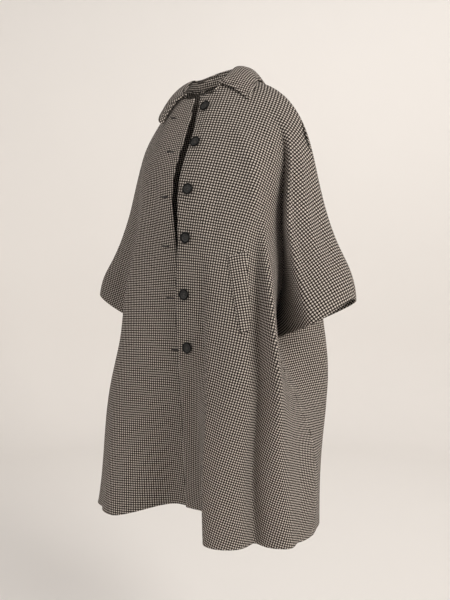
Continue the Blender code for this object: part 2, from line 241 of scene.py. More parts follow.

# %% [markdown]
# The cloth is a small houndstooth. On the loom it is plain colour and weave: four dark yarns then four
# light ones in both directions, in a twill that passes over two and under two. An image would blur close
# up, so the shader works the weave out yarn by yarn from the flat pattern of each piece, which its UV map
# holds in metres. Where the two colours cross, the light yarns are painted darker: partly painted shade
# between the yarns, partly the nap of the dark yarns. A little noise bends the yarns and mixes in stray
# fibres.

# %% Wool cloth
REPEAT = 0.0054
YARNS_IN_REPEAT = 8
YARN = REPEAT / YARNS_IN_REPEAT
TWILL = 4
YARN_WANDER = 0.0016
WARP_WANDER_SCALE = 22.0
WEFT_WANDER_SCALE = 31.0
FIBRE_SCALE = 2600.0
PATCH_SCALE = 9.0
PATCH_SHADE = 0.10
YARN_RELIEF = 0.7
FIBRE_RELIEF = 0.6
NAP = 0.35
LIGHT_YARN = (0.60, 0.545, 0.495, 1.0)
LIGHT_FLECK = (0.44, 0.39, 0.35, 1.0)
FELTED_AND_SHADED_YARN = (0.120, 0.104, 0.092, 1.0)
DARK_YARN = (0.004, 0.0035, 0.003, 1.0)
DARK_FLECK = (0.014, 0.011, 0.010, 1.0)
FLAT_PATTERN = "flat_pattern"


def weave_cloth():
    """The houndstooth wool of every panel."""
    material, shader, strand = finish_of(
        "houndstooth_wool", Roughness=0.95, Specular_IOR_Level=0.08, Sheen_Weight=0.02, Sheen_Roughness=0.5,
    )
    flat = strand.node("ShaderNodeUVMap", {"uv_map": FLAT_PATTERN}, {})
    along = strand.node("ShaderNodeSeparateXYZ", {}, {0: flat}, 0)
    up = strand.node("ShaderNodeSeparateXYZ", {}, {0: flat}, 1)
    sway = flat.noise(WARP_WANDER_SCALE) - 0.5
    lean = flat.noise(WEFT_WANDER_SCALE) - 0.5
    across_warp = (along + sway * YARN_WANDER) * (1.0 / YARN)
    across_weft = (up + lean * YARN_WANDER) * (1.0 / YARN)
    warp = across_warp.floor()
    weft = across_weft.floor()
    half = YARNS_IN_REPEAT / 2
    warp_dark = (warp % YARNS_IN_REPEAT) < half
    weft_dark = (weft % YARNS_IN_REPEAT) < half
    warp_on_top = ((warp - weft) % TWILL) < TWILL / 2
    dark = warp_on_top * warp_dark + (1.0 - warp_on_top) * weft_dark
    warp_side = (across_warp - warp) * 2.0 - 1.0
    weft_side = (across_weft - weft) * 2.0 - 1.0
    round_warp = 1.0 - warp_side * warp_side
    round_weft = 1.0 - weft_side * weft_side
    height = warp_on_top * round_warp + (1.0 - warp_on_top) * round_weft
    fibres = flat.noise(FIBRE_SCALE, 3.0)
    light = fibres.blend(LIGHT_FLECK, LIGHT_YARN)
    deep = fibres.blend(DARK_YARN, DARK_FLECK)
    # Light yarns where the colours cross are darkened: partly painted shade between the yarns, partly the
    # nap of the dark yarns.
    shaded_crossing = warp_dark + weft_dark - 2.0 * warp_dark * weft_dark
    yarns = dark.blend(shaded_crossing.blend(light, FELTED_AND_SHADED_YARN), deep)
    shade = flat.noise(PATCH_SCALE) * PATCH_SHADE
    feed(shader, Base_Color=shade.blend(yarns, DARK_FLECK))
    relief = height * YARN_RELIEF + fibres * FIBRE_RELIEF
    bump = strand.node("ShaderNodeBump", {}, {"Strength": NAP, "Distance": YARN / 2, "Height": relief})
    feed(shader, Normal=bump)
    return material


wool = weave_cloth()
print("weave repeat", REPEAT * 1000, "mm")

# %% [markdown]
# The drape is the main form, so it is worked out from the same tables as the solids. Down counts from the
# neckline at 0 to the hem at 1, and the sleeve hem lies at UNDERARM. Across counts from the middle of the
# body at 0, through the fold between body and sleeve at 1, to the overarm seam at 2. Each level is an oval,
# and each row of a table is one level.

# %% Form tables
CLOTH = 0.0025
UNDERARM = 0.62
LEFT, RIGHT = 1, -1
SIDE_COLUMNS = ("down", "out_x", "out_y", "out_z", "fold_x", "fold_y", "fold_z")
LEFT_SIDE = (
    (0.00, 0.078, 0.015, 0.000, 0.074, 0.010, -0.005),
    (0.10, 0.166, 0.018, -0.046, 0.150, 0.020, -0.075),
    (0.20, 0.224, 0.020, -0.122, 0.200, 0.033, -0.160),
    (0.35, 0.266, 0.018, -0.265, 0.200, 0.020, -0.325),
    (0.50, 0.320, 0.004, -0.404, 0.205, -0.020, -0.480),
    (0.62, 0.364, -0.018, -0.514, 0.165, 0.005, -0.606),
    (0.80, 0.290, -0.010, -0.800, 0.250, 0.000, -0.800),
    (1.00, 0.272, -0.025, -1.022, 0.270, -0.025, -1.022),
)
RIGHT_SIDE = (
    (0.00, 0.078, 0.015, -0.010, 0.074, 0.010, -0.015),
    (0.10, 0.149, 0.018, -0.051, 0.107, 0.038, -0.086),
    (0.20, 0.214, 0.018, -0.126, 0.145, 0.020, -0.165),
    (0.35, 0.262, 0.015, -0.268, 0.165, 0.020, -0.330),
    (0.50, 0.320, 0.004, -0.406, 0.185, 0.000, -0.480),
    (0.62, 0.348, -0.018, -0.503, 0.190, -0.005, -0.600),
    (0.80, 0.325, 0.000, -0.810, 0.255, 0.010, -0.810),
    (1.00, 0.325, 0.000, -1.042, 0.320, 0.000, -1.042),
)
FRONT_COLUMNS = (
    "down", "edge_x", "edge_y", "edge_z", "reach", "fall", "square", "slope", "turn",
    "draw", "body_width", "sleeve_width", "strip_end",
)
LEFT_FRONT = (
    (0.00, 0.019, -0.085, -0.055, 0.090, -0.066, 0.60, 0.60, 58, 0.0, 0.30, 0.40, 0.45),
    (0.10, 0.031, -0.130, -0.148, 0.136, -0.148, 1.00, 1.15, 62, 0.1, 0.22, 0.26, 0.45),
    (0.20, 0.023, -0.164, -0.242, 0.168, -0.242, 1.00, 1.25, 66, 0.9, 0.18, 0.22, 0.45),
    (0.35, 0.020, -0.170, -0.385, 0.178, -0.385, 0.95, 1.10, 57, 1.0, 0.16, 0.18, 0.45),
    (0.50, 0.013, -0.168, -0.520, 0.184, -0.525, 0.90, 0.95, 51, 1.0, 0.16, 0.18, 0.40),
    (0.62, 0.016, -0.162, -0.640, 0.188, -0.645, 0.90, 0.90, 50, 1.0, 0.18, 0.24, 0.36),
    (0.80, 0.008, -0.138, -0.805, 0.192, -0.815, 0.80, 0.80, 70, 1.0, 0.26, 0.75, 0.28),
    (1.00, -0.006, -0.106, -0.991, 0.195, -1.022, 0.75, 0.75, 90, 1.0, 0.35, 0.75, 0.24),
)
RIGHT_FRONT = (
    (0.00, 0.004, -0.088, -0.060, 0.090, -0.060, 0.75, 0.80, 58, 0.0, 0.60, 0.40, 0.45),
    (0.10, 0.012, -0.130, -0.150, 0.136, -0.150, 1.00, 1.30, 58, 0.8, 0.70, 0.70, 0.45),
    (0.20, 0.000, -0.157, -0.240, 0.160, -0.240, 1.00, 1.40, 58, 1.0, 0.70, 0.70, 0.45),
    (0.35, 0.006, -0.162, -0.385, 0.166, -0.385, 0.95, 1.50, 58, 1.0, 0.60, 0.60, 0.45),
    (0.50, 0.018, -0.158, -0.520, 0.168, -0.525, 0.90, 1.40, 58, 1.0, 0.60, 0.70, 0.45),
    (0.62, 0.026, -0.152, -0.640, 0.168, -0.645, 0.90, 1.10, 60, 1.0, 0.60, 0.75, 0.45),
    (0.80, 0.030, -0.130, -0.805, 0.168, -0.815, 0.80, 0.80, 78, 1.0, 0.50, 0.75, 0.40),
    (1.00, 0.030, -0.098, -0.990, 0.168, -1.026, 0.75, 0.75, 90, 1.0, 0.50, 0.75, 0.30),
)
BACK_COLUMNS = (
    "down", "reach", "fall", "square", "slope", "turn", "draw", "body_width", "sleeve_width",
)
BACK = (
    (0.00, 0.072, 0.012, 0.75, 0.75, 58, 0.0, 0.40, 0.40),
    (0.10, 0.118, -0.060, 1.00, 1.45, 58, 0.0, 0.40, 0.40),
    (0.20, 0.150, -0.150, 1.00, 1.60, 58, 0.2, 0.40, 0.40),
    (0.35, 0.175, -0.300, 1.00, 1.55, 58, 0.6, 0.40, 0.50),
    (0.50, 0.190, -0.460, 1.00, 1.60, 58, 0.8, 0.40, 0.60),
    (0.62, 0.200, -0.605, 1.00, 1.30, 60, 1.0, 0.45, 0.75),
    (0.80, 0.208, -0.810, 1.00, 1.30, 78, 1.0, 0.40, 0.75),
    (1.00, 0.205, -1.030, 1.00, 1.55, 90, 1.0, 0.40, 0.75),
)
FRONT_SPREAD = {LEFT: 0.060, RIGHT: 0.095}
BACK_SPREAD = 0.095
STRIP = 0.06
TACK = 0.002
SPREAD_RUN = 0.4
TACK_RUN = 0.06
FALL_SLOPE = 1.5
FOLD_COLUMNS = ("panel", "top_at", "hem_at", "begins", "full", "depth", "width", "lean")
FOLDS = (
    ("left_front", 0.50, 0.33, 0.30, 1.00, 0.014, 0.14, -0.030),
    ("left_front", 0.86, 0.54, 0.22, 0.70, -0.036, 0.07, 0.000),
    ("left_front", 0.95, 0.74, 0.25, 0.60, 0.012, 0.08, 0.000),
    ("right_front", 0.30, 0.34, 0.30, 1.00, 0.010, 0.12, 0.000),
    ("right_front", 0.48, 0.55, 0.45, 1.00, -0.008, 0.09, 0.000),
    ("back", 0.00, 0.00, 0.35, 1.00, 0.012, 0.16, 0.000),
    ("back", 0.30, 0.32, 0.30, 1.00, -0.030, 0.12, 0.000),
    ("back", 0.58, 0.60, 0.30, 1.00, 0.014, 0.14, 0.000),
)
print("levels in each table:", len(LEFT_FRONT), "folds:", len(FOLDS))

# %% [markdown]
# Between the levels a natural cubic curve carries every column, so the surface has no kinks. Each oval is
# then drawn in where body and sleeve meet, its front edge is held where it hangs, and the large folds of
# the table are pushed out or in.


# %% Form functions
def spline(knots, values, at):
    """Natural cubic curve through the rows of values, read at the given places."""
    knots = np.asarray(knots, float)
    values = np.asarray(values, float)
    count = len(knots)
    gap = np.diff(knots)
    system = np.eye(count)
    target = np.zeros(values.shape)
    for i in range(1, count - 1):
        system[i, i - 1] = gap[i - 1]
        system[i, i] = 2.0 * (gap[i - 1] + gap[i])
        system[i, i + 1] = gap[i]
        target[i] = 6.0 * ((values[i + 1] - values[i]) / gap[i] - (values[i] - values[i - 1]) / gap[i - 1])
    bend = np.linalg.solve(system, target)
    at = np.asarray(at, float)
    cell = np.clip(np.searchsorted(knots, at, side="right") - 1, 0, count - 2)
    step = gap[cell]
    after = ((at - knots[cell]) / step)[:, None]
    before = 1.0 - after
    square = (step * step)[:, None] / 6.0
    return (
        before * values[cell] + after * values[cell + 1]
        + square * ((before ** 3 - before) * bend[cell] + (after ** 3 - after) * bend[cell + 1])
    )


def read(table, columns, at):
    """Every column of a table at the given places along its first column, by name."""
    rows = np.array(table, float)
    found = spline(rows[:, 0], rows[:, 1:], at)
    return {name: found[:, i] for i, name in enumerate(columns[1:])}


def soft(x):
    """Rises smoothly from 0 to 1."""
    x = np.clip(x, 0.0, 1.0)
    return x * x * (3.0 - 2.0 * x)


def swell(distance):
    """One at no distance, falling smoothly to nothing at a distance of 1."""
    return 0.5 + 0.5 * np.cos(math.pi * np.clip(distance, 0.0, 1.0))


def stack(x, y, z):
    """Points from their three coordinates."""
    return np.stack([x, y, z], axis=-1)


def unit(vectors):
    """Vectors made one long."""
    return vectors / np.maximum(np.linalg.norm(vectors, axis=-1, keepdims=True), 1e-9)


def add_folds(panel, across, down, angle, points):
    """Moves points out along the large folds of one panel."""
    level = np.zeros_like(angle)
    outward = stack(np.sin(angle), -np.cos(angle), level)
    sideways = stack(np.cos(angle), np.sin(angle), level)
    for row in FOLDS:
        fold = dict(zip(FOLD_COLUMNS, row))
        if fold["panel"] != panel:
            continue
        along = np.clip((down - fold["begins"]) / (1.0 - fold["begins"]), 0.0, 1.0)
        middle = fold["top_at"] + (fold["hem_at"] - fold["top_at"]) * along
        grown = soft((down - fold["begins"]) / (fold["full"] - fold["begins"]))
        crest = np.exp(-((across - middle) / fold["width"]) ** 2)
        points += outward * (fold["depth"] * grown * crest)[:, None]
        points += sideways * (fold["lean"] * grown * crest)[:, None]
    return points


def draped(across, down, out, form, facing, spread):
    """Points on an oval quarter, drawn into the fold between body and sleeve."""
    turn = np.radians(form["turn"])

    def oval(at):
        angle = np.where(at < 1.0, at * turn, turn + (at - 1.0) * (math.pi / 2 - turn))
        ahead = np.clip(np.cos(angle), 0.0, 1.0)
        aside = np.clip(np.sin(angle), 0.0, 1.0)
        x = out["out_x"] * aside ** form["square"]
        y = out["out_y"] + (facing * form["reach"] - out["out_y"]) * ahead ** form["slope"]
        z = out["out_z"] + (form["fall"] - out["out_z"]) * ahead ** FALL_SLOPE
        return stack(x, y, z), angle

    points, angle = oval(across)
    corner = oval(np.ones_like(across))[0]
    apart = spread * soft((UNDERARM - down) / SPREAD_RUN)
    apart += TACK * (1.0 - soft((down - UNDERARM) / TACK_RUN))
    fold = stack(out["fold_x"], out["fold_y"] + facing * apart, out["fold_z"])
    rolled = swell((1.0 - across) / form["body_width"])
    creased = (1.0 - np.clip((across - 1.0) / form["sleeve_width"], 0.0, 1.0)) ** 2
    draw = np.where(down < UNDERARM, np.clip(form["draw"], 0.0, 1.0), 1.0)
    points += (fold - corner) * (draw * np.where(across < 1.0, rolled, creased))[:, None]
    return points, angle, oval(np.zeros_like(across))[0]


def front(side, across, down):
    """Points of a front at the given places across and down."""
    across = np.asarray(across, float)
    down = np.asarray(down, float)
    form = read(LEFT_FRONT if side == LEFT else RIGHT_FRONT, FRONT_COLUMNS, down)
    out = read(LEFT_SIDE if side == LEFT else RIGHT_SIDE, SIDE_COLUMNS, down)
    points, angle, start = draped(across, down, out, form, -1.0, FRONT_SPREAD[side])
    edge = stack(form["edge_x"] * side, form["edge_y"], form["edge_z"])
    hold = 1.0 - soft((across - STRIP) / (form["strip_end"] - STRIP))
    points += (edge - start) * hold[:, None]
    points = add_folds("left_front" if side == LEFT else "right_front", across, down, angle, points)
    points[:, 0] *= side
    return points


def back(across, down):
    """Points of the back, the wearer's left where across is above zero."""
    across = np.asarray(across, float)
    down = np.asarray(down, float)
    form = read(BACK, BACK_COLUMNS, down)
    left = read(LEFT_SIDE, SIDE_COLUMNS, down)
    right = read(RIGHT_SIDE, SIDE_COLUMNS, down)
    out = {name: np.where(across < 0.0, right[name], left[name]) for name in left}
    points, angle = draped(np.abs(across), down, out, form, 1.0, BACK_SPREAD)[:2]
    points = add_folds("back", np.abs(across), down, math.pi - angle, points)
    points[:, 0] *= np.where(across < 0.0, -1.0, 1.0)
    return points


def left_front(across, down):
    return front(LEFT, across, down)


def right_front(across, down):
    return front(RIGHT, across, down)


hem = left_front([0.0, 0.5, 1.0], [1.0, 1.0, 1.0])
print("left hem levels", hem[:, 2].round(3))

# %% [markdown]
# Heavy wool also carries small soft creases: drag lines that fan from the shoulder, ripples beside the fold
# of the sleeve and shallow waves along the hem. Noise would look like crumpled paper, so each crease is
# given as a line across the panel with a depth and a width of its own.

# %% Small creases
CREASE_FADE = 0.35
CREASE_COLUMNS = ("panel", "from_across", "from_down", "to_across", "to_down", "depth", "width")
CREASES = (
    ("left_front", 0.62, 0.10, 0.78, 0.40, 0.0060, 0.060),
    ("left_front", 0.82, 0.12, 0.90, 0.50, -0.0060, 0.045),
    ("left_front", 0.36, 0.16, 0.42, 0.44, -0.0025, 0.060),
    ("left_front", 0.25, 0.36, 0.21, 0.86, -0.0075, 0.055),
    ("left_front", 0.44, 0.55, 0.30, 0.95, -0.0040, 0.050),
    ("left_front", 0.72, 0.62, 0.60, 1.00, 0.0045, 0.045),
    ("left_front", 0.90, 0.68, 0.86, 1.00, -0.0035, 0.040),
    ("left_front", 1.20, 0.18, 1.30, 0.60, -0.0045, 0.060),
    ("left_front", 1.42, 0.22, 1.55, 0.60, 0.0040, 0.070),
    ("left_front", 1.66, 0.30, 1.75, 0.62, -0.0030, 0.060),
    ("right_front", 0.24, 0.14, 0.22, 0.50, -0.0030, 0.050),
    ("right_front", 0.40, 0.20, 0.46, 0.62, 0.0035, 0.060),
    ("right_front", 0.62, 0.25, 0.72, 0.70, -0.0040, 0.060),
    ("right_front", 0.16, 0.60, 0.20, 1.00, 0.0030, 0.050),
    ("right_front", 0.74, 0.66, 0.80, 1.00, 0.0040, 0.060),
    ("right_front", 1.22, 0.25, 1.32, 0.60, -0.0040, 0.070),
    ("right_front", 1.52, 0.22, 1.62, 0.60, 0.0035, 0.080),
    ("back", -0.18, 0.20, -0.15, 0.80, 0.0040, 0.060),
    ("back", 0.20, 0.15, 0.16, 0.72, 0.0045, 0.070),
    ("back", 0.46, 0.30, 0.44, 0.95, -0.0040, 0.050),
    ("back", -0.46, 0.35, -0.48, 1.00, -0.0045, 0.050),
    ("back", 0.78, 0.20, 0.86, 0.60, 0.0045, 0.060),
    ("back", -0.80, 0.18, -0.88, 0.58, 0.0040, 0.060),
    ("back", 1.30, 0.22, 1.42, 0.60, -0.0045, 0.070),
    ("back", -1.34, 0.26, -1.46, 0.60, -0.0040, 0.070),
    ("back", 0.04, 0.55, 0.02, 1.00, -0.0035, 0.050),
)


def crease_depth(panel, across, down):
    """How far the small creases move each point of a panel out."""
    depth = np.zeros_like(across)
    for row in CREASES:
        crease = dict(zip(CREASE_COLUMNS, row))
        if crease["panel"] != panel:
            continue
        run = crease["to_down"] - crease["from_down"]
        along = (down - crease["from_down"]) / run
        middle = crease["from_across"] + (crease["to_across"] - crease["from_across"]) * along
        open_end = crease["to_down"] >= 1.0
        fade = soft(along / CREASE_FADE) * (1.0 if open_end else soft((1.0 - along) / CREASE_FADE))
        depth += crease["depth"] * fade * np.exp(-((across - middle) / crease["width"]) ** 2)
    return depth


print("small creases:", len(CREASES))

# %% [markdown]
# Each panel is a grid laid onto the form. Its columns stand closer at the edges, where the cloth turns in
# at a seam and leaves a fine groove. The part of the grid beyond the sleeve hem is cut away first. The panel
# is then unfolded into its flat pattern, and last it is given its thickness.

# %% Panels of cloth
TURN_DEPTH = 0.0011
TURN_WIDTH = 0.0035
CROWDING = 0.12
UNFOLD_STEPS = 12


def spaced(start, end, count):
    """Places from start to end that stand closer together at both ends."""
    even = np.linspace(0.0, 1.0, count + 1)
    return start + (end - start) * (even - CROWDING * np.sin(2.0 * math.pi * even))


def join(*runs):
    """Several runs of places as one, with no place twice."""
    return np.concatenate([runs[0]] + [run[1:] for run in runs[1:]])


def facing(points):
    """The direction square to a grid of points."""
    return unit(np.cross(np.gradient(points, axis=0), np.gradient(points, axis=1)))


def run_from(points, first):
    """Distance of each point from one column of its grid, measured along the rows."""
    steps = np.linalg.norm(np.diff(points, axis=1), axis=2)
    run = np.concatenate([np.zeros((len(points), 1)), np.cumsum(steps, axis=1)], axis=1)
    return np.abs(run - run[:, [first]])


def laid_grid(points, keep):
    """A bmesh grid moved onto its points, without the faces that are not kept, and its places."""
    levels, columns = points.shape[:2]
    work = bmesh.new()
    bmesh.ops.create_grid(work, x_segments=columns - 1, y_segments=levels - 1, size=1.0)
    waste = []
    for face in work.faces:
        middle = face.calc_center_median()
        column = int((middle.x + 1.0) / 2.0 * (columns - 1))
        level = int((1.0 - middle.y) / 2.0 * (levels - 1))
        if not keep(column, level):
            waste.append(face)
    bmesh.ops.delete(work, geom=waste, context="FACES")
    places = []
    for vert in work.verts:
        column = round((vert.co.x + 1.0) / 2.0 * (columns - 1))
        level = round((1.0 - vert.co.y) / 2.0 * (levels - 1))
        vert.co = points[level, column]
        places.append((level, column))
    return work, np.array(places)


def everywhere(column, level):
    """Keeps every face of a grid."""
    return True


def column_of(places, column):
    """The vertices of one column of a laid grid, from its first level down."""
    found = np.where(places[:, 1] == column)[0]
    return found[np.argsort(places[found, 0])]


def sewn(name, work, material):
    """A finished bmesh as an object of the coat."""
    for face in work.faces:
        face.smooth = True
    mesh = bpy.data.meshes.new(name)
    work.to_mesh(mesh)
    work.free()
    mesh.materials.append(material)
    thing = bpy.data.objects.new(name, mesh)
    scene.collection.objects.link(thing)
    return thing


def flatten(thing, upright, lean=0.0, swing=0.0):
    """Unfolds a panel into its flat pattern, in metres, with the line of upright points along the grain.

    Lean turns the grain as a whole. Swing turns it further with every metre across, as flared cloth does.
    """
    bpy.context.view_layer.objects.active = thing
    for other in bpy.context.selected_objects:
        other.select_set(False)
    thing.select_set(True)
    mesh = thing.data
    mesh.uv_layers.new(name=FLAT_PATTERN)
    bpy.ops.object.mode_set(mode="EDIT")
    bpy.ops.mesh.select_all(action="SELECT")
    bpy.ops.uv.unwrap(method="MINIMUM_STRETCH", iterations=UNFOLD_STEPS, margin=0.0)
    bpy.ops.object.mode_set(mode="OBJECT")
    layer = mesh.uv_layers[FLAT_PATTERN].uv
    flat = np.empty(len(layer) * 2)
    layer.foreach_get("vector", flat)
    flat = flat.reshape(-1, 2)
    corners = np.empty(len(layer), int)
    mesh.loops.foreach_get("vertex_index", corners)
    spot = np.zeros((len(mesh.vertices), 2))
    spot[corners] = flat
    grain = spot[upright[0]] - spot[upright[-1]]
    turn = math.atan2(grain[0], grain[1])
    turned = np.array([[math.cos(turn), math.sin(turn)], [-math.sin(turn), math.cos(turn)]])
    flat = (flat - spot[upright[0]]) @ turned
    cut_area = 0.0
    true_area = 0.0
    for polygon in mesh.polygons:
        first = flat[polygon.loop_start:polygon.loop_start + polygon.loop_total]
        after = np.roll(first, -1, axis=0)
        cut_area += 0.5 * abs(np.sum(first[:, 0] * after[:, 1] - first[:, 1] * after[:, 0]))
        true_area += polygon.area
    flat *= math.sqrt(true_area / cut_area)
    size = flat.max(axis=0) - flat.min(axis=0)
    if swing:
        spots = flat[:, 0] + 1j * (flat[:, 1] + size[1] / 2)
        spots = cmath.exp(1j * lean) * (np.exp(1j * swing * spots) - 1.0) / (1j * swing)
        flat = np.stack([spots.real, spots.imag], axis=1)
    layer.foreach_set("vector", flat.ravel())
    thing["cut"] = (float(size[0]), float(size[1]), true_area)
    return thing


def thicken(thing, thickness):
    """Gives a panel its wall, half to each side of its surface."""
    wall = thing.modifiers.new("wall", "SOLIDIFY")
    wall.thickness = thickness
    wall.offset = 0.0
    wall.use_even_offset = True
    wall.use_quality_normals = True
    return thing


def make_panel(panel, place, across, down, turned_over, seams, lean=0.0, swing=0.0):
    """One panel of the coat: the form, its creases, its turned edges, its flat pattern and its wall."""
    sleeve = int(np.argmin(np.abs(down - UNDERARM)))
    columns, levels = np.meshgrid(across, down)
    points = place(columns.ravel(), levels.ravel()).reshape(columns.shape + (3,))
    out = facing(points)
    out[:sleeve + 1] = facing(points[:sleeve + 1])
    if turned_over:
        out = -out
    depth = crease_depth(panel, columns, levels)
    for first, upper in seams:
        away = run_from(points, first)
        groove = TURN_DEPTH * np.exp(-(away / TURN_WIDTH) ** 2)
        rows = slice(0, sleeve + 1) if upper else slice(sleeve, None)
        depth[rows] -= groove[rows]
    points = points + out * depth[..., None]
    outer = np.where(np.abs(across) <= 1.0 + 1e-9)[0]
    inside = (outer.min(), outer.max())

    def within(column, level):
        return level < sleeve or inside[0] <= column < inside[1]

    work, places = laid_grid(points, within)
    if turned_over:
        bmesh.ops.reverse_faces(work, faces=work.faces)
    thing = sewn(panel + "_cloth", work, wool)
    middle = int(np.argmin(np.abs(across)))
    flatten(thing, column_of(places, middle), lean, swing)
    thicken(thing, CLOTH)
    print(panel, "cut", [round(part, 3) for part in thing["cut"]], "faces", len(thing.data.polygons))
    return thing


DOWN = join(spaced(0.0, UNDERARM, 70), spaced(UNDERARM, 1.0, 44))
FRONT_ACROSS = join(spaced(0.0, 1.0, 64), spaced(1.0, 2.0, 44))
BACK_ACROSS = join(
    spaced(-2.0, -1.0, 36), spaced(-1.0, 0.0, 44), spaced(0.0, 1.0, 44), spaced(1.0, 2.0, 36),
)
last = len(FRONT_ACROSS) - 1
side_seam = int(np.argmin(np.abs(FRONT_ACROSS - 1.0)))
front_seams = ((0, True), (0, False), (last, True), (side_seam, False))
LEFT_LEAN = math.radians(4)
LEFT_SWING = 0.35
left_cloth = make_panel(
    "left_front", left_front, FRONT_ACROSS, DOWN, False, front_seams, LEFT_LEAN, LEFT_SWING,
)
right_cloth = make_panel("right_front", right_front, FRONT_ACROSS, DOWN, True, front_seams)
far_side = int(np.argmin(np.abs(BACK_ACROSS - 1.0)))
near_side = int(np.argmin(np.abs(BACK_ACROSS + 1.0)))
back_seams = ((0, True), (len(BACK_ACROSS) - 1, True), (near_side, False), (far_side, False))
back_cloth = make_panel("back", back, BACK_ACROSS, DOWN, True, back_seams)

# %% [markdown]
# The collar is a low stand on the neckline and a fall that turns down over it. Its table holds, from the
# right end at -1 round the middle back to the left end at 1, where the roll lies above the neckline, where
# the outer edge lies below the roll, and how far the fall rises between the two. A real collar is stitched
# near its edge, so the fall has a shallow groove there and a slightly padded border.

# %% Collar
COLLAR_RIGHT, COLLAR_LEFT = 0.21, 0.53
STAND_FOOT = 0.0022
STAND_HEAD = 0.0058
COLLAR_COLUMNS = ("around", "roll_x", "roll_y", "roll_z", "fall_x", "fall_y", "fall_z", "round")
COLLAR = (
    (-1.00, 0.004, -0.002, 0.011, -0.055, -0.020, -0.065, 0.013),
    (-0.70, 0.012, 0.006, 0.015, -0.039, -0.034, -0.055, 0.013),
    (-0.46, 0.010, 0.000, 0.027, -0.047, 0.008, -0.040, 0.009),
    (-0.20, 0.005, -0.004, 0.032, -0.026, 0.030, -0.052, 0.009),
    (0.00, 0.000, -0.005, 0.034, 0.000, 0.034, -0.055, 0.009),
    (0.20, -0.004, -0.004, 0.033, 0.026, 0.030, -0.052, 0.009),
    (0.50, -0.010, 0.000, 0.027, 0.050, 0.004, -0.040, 0.009),
    (0.75, 0.000, 0.004, 0.020, 0.062, 0.004, -0.042, 0.010),
    (1.00, 0.010, 0.005, 0.024, 0.068, 0.016, -0.046, 0.007),
)
BORDER = 0.008
BORDER_GROOVE = 0.0009
BORDER_PUFF = 0.0006
GROOVE_WIDTH = 0.0016
PUFF_WIDTH = 0.003
NECK_STEPS = 60
HALF_COLLAR_STEPS = 70


def neckline(around):
    """Points of the neckline, from the right end of the collar at -1 to the left end at 1."""
    def level(values):
        return np.zeros(len(values))

    start = np.linspace(COLLAR_RIGHT, 2.0, NECK_STEPS)
    end = np.linspace(2.0, COLLAR_LEFT, NECK_STEPS)
    behind = np.linspace(-2.0, 0.0, NECK_STEPS)
    ahead = np.linspace(0.0, 2.0, NECK_STEPS)
    right = np.concatenate([right_front(start, level(start)), back(behind, level(behind))[1:]])
    left = np.concatenate([back(ahead, level(ahead)), left_front(end, level(end))[1:]])
    found = np.zeros((len(around), 3))
    for line, first, chosen in ((right, -1.0, around <= 0.0), (left, 0.0, around > 0.0)):
        run = np.concatenate([[0.0], np.cumsum(np.linalg.norm(np.diff(line, axis=0), axis=1))])
        places = (around[chosen] - first) * run[-1]
        found[chosen] = np.stack([np.interp(places, run, line[:, i]) for i in range(3)], axis=1)
    return found


def collar_lines(around):
    """The neckline, the roll and the outer edge of the collar, with how far the fall rises."""
    base = neckline(around)
    form = read(COLLAR, COLLAR_COLUMNS, around)
    roll = base + stack(form["roll_x"], form["roll_y"], form["roll_z"])
    edge = roll + stack(form["fall_x"], form["fall_y"], form["fall_z"])
    return base, roll, edge, form["round"]


def fall_points(around, parts):
    """Points of the fall, one row for each part of the way from the roll to the outer edge."""
    roll, edge, rise = collar_lines(around)[1:]
    rows = []
    for part in parts:
        lift = 4.0 * part * (1.0 - part) * rise
        rows.append(roll + (edge - roll) * part + stack(0.0 * lift, 0.0 * lift, lift))
    return np.stack(rows)


def border_depth(points):
    """The stitched border of the fall: a groove a little way in from its three free edges."""
    sides = np.minimum(run_from(points, 0), run_from(points, points.shape[1] - 1))
    below = run_from(points.transpose(1, 0, 2), points.shape[0] - 1).T
    inward = np.minimum(sides, below)
    groove = -BORDER_GROOVE * np.exp(-((inward - BORDER) / GROOVE_WIDTH) ** 2)
    puff = BORDER_PUFF * np.exp(-((inward - BORDER / 2) / PUFF_WIDTH) ** 2)
    return groove + puff


def collar_piece(name, points):
    """A part of the collar from its grid of points, with the grain along the middle back."""
    work, places = laid_grid(points, everywhere)
    bmesh.ops.reverse_faces(work, faces=work.faces)
    thing = sewn(name, work, wool)
    flatten(thing, column_of(places, HALF_COLLAR_STEPS))
    return thicken(thing, CLOTH)


around = join(spaced(-1.0, 0.0, HALF_COLLAR_STEPS), spaced(0.0, 1.0, HALF_COLLAR_STEPS))
parts = np.concatenate([np.linspace(0.0, 0.80, 14), np.linspace(0.82, 1.0, 13)])
fall = fall_points(around, parts)
outward = -facing(fall)
fall = fall + outward * border_depth(fall)[..., None]
fall_cloth = collar_piece("collar_fall_cloth", fall)
base, roll = collar_lines(around)[:2]
head = roll - np.array([0.0, 0.0, STAND_HEAD])
foot = base + np.array([0.0, 0.0, STAND_FOOT])
stand = np.stack([head + (foot - head) * part for part in np.linspace(0.0, 1.0, 9)])
stand_cloth = collar_piece("collar_stand_cloth", stand)
print("collar fall cut", [round(part, 3) for part in fall_cloth["cut"]])

# %% [markdown]
# The pocket welt is a slanted strip on the left front. It is sewn down along the edge nearer the middle and
# at both short ends, and open along the other edge. It is made from the panel's own points moved out, so
# that it follows every crease below it.

# %% Pocket welt
LAY_GAP = 0.0012
WELT_CLOTH = CLOTH * 0.8
WELT_COLUMNS = ("inner", "outer", "down")
WELT_TOP = (0.537, 0.688, 0.418)
WELT_BOTTOM = (0.583, 0.647, 0.582)
ENDS_SEWN = 0.05
EDGE_SEWN = 0.15
SEWN_LIFT = 0.35


